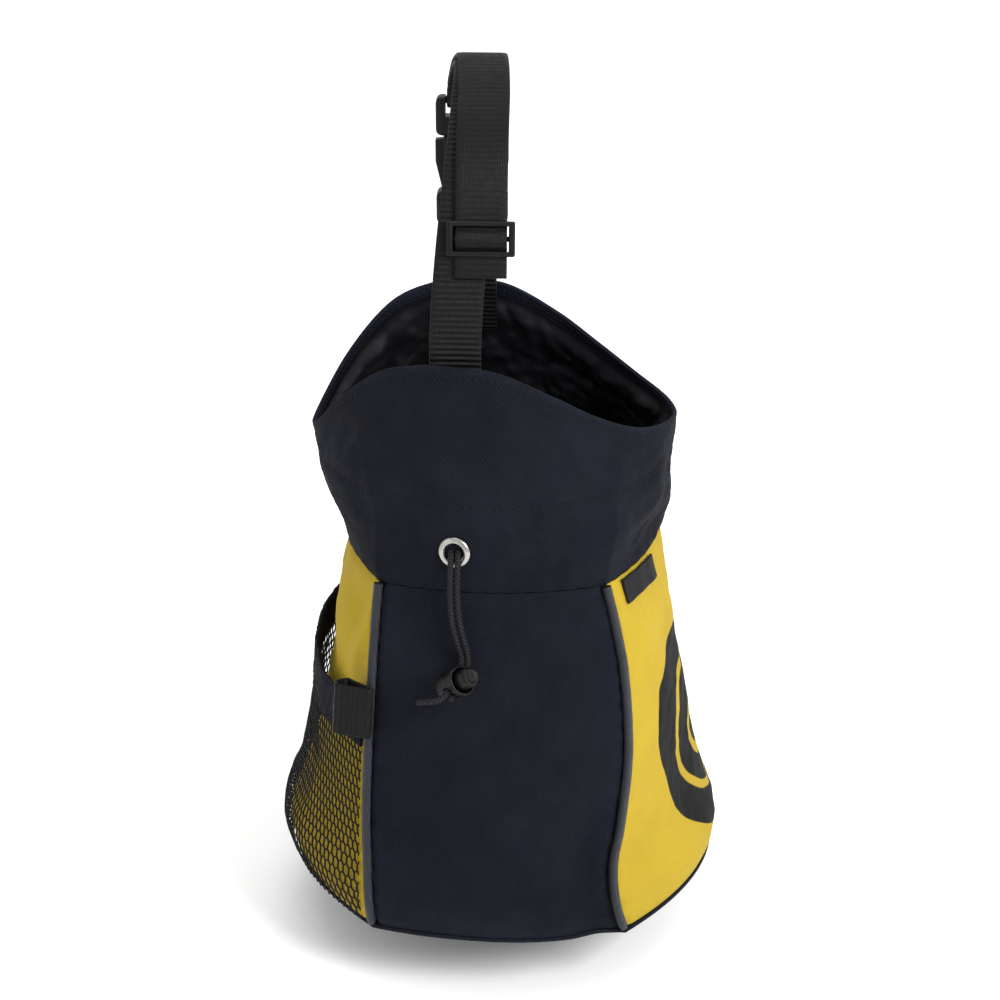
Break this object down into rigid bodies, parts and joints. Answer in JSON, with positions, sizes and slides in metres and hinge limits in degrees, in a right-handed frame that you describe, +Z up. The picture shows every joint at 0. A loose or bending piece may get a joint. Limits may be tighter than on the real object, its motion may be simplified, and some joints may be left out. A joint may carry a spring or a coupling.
{
  "type": "climbing chalk bag",
  "caption": "Bucket-shaped climbing chalk bag with a piped panelled body, an open drawcord collar, a mesh side pocket, a brush loop and a buckled webbing handle.",
  "frame": {"origin": "under the crown of the handle, in the middle of the webbing, where a hook or peg holds the bag up", "axes": "+Z up, +X to the right as the front panel is faced, the front panel with the eyelet faces -Y"},
  "size_m": [0.1853, 0.181, 0.337],
  "materials": {
    "black_fabric": "fine dull twill",
    "yellow_fabric": "fine dull weave",
    "piping": "woven tape",
    "lining_fabric": "thin satiny weave",
    "nickel": "bright nickel",
    "cord": "braided",
    "black_plastic": "satin moulded",
    "webbing": "ribbed webbing",
    "mesh": "open net",
    "tag": "woven label"
  },
  "bodies": {
    "bag": {"front_panel": "black_fabric", "back_panel": "black_fabric", "base_panel": "black_fabric", "collar": "black_fabric", "pocket_band": "black_fabric", "right_panel": "yellow_fabric", "left_panel": "yellow_fabric", "piping_front_left": "piping", "piping_front_right": "piping", "piping_back_right": "piping", "piping_back_left": "piping", "lining_pouch": "lining_fabric", "lining_sleeve": "lining_fabric", "eyelet": "nickel", "drawcord_long": "cord", "drawcord_short": "cord", "cord_lock_body": "black_plastic", "buckle_plug": "black_plastic", "buckle_socket": "black_plastic", "slider": "black_plastic", "strap_main": "webbing", "strap_far": "webbing", "brush_loop": "webbing", "mesh_pocket": "mesh", "side_tag": "tag"},
    "cord_lock_plunger": {"cord_lock_plunger": "black_plastic"}
  },
  "joints": [
    {"name": "plunger_press", "type": "slide", "parent": "bag", "child": "cord_lock_plunger", "axis": [-0.5839, 0.5567, -0.5909], "range_m": [0, 0.003], "stiffness_N_per_m": 300, "springref_m": -0.002}
  ]
}
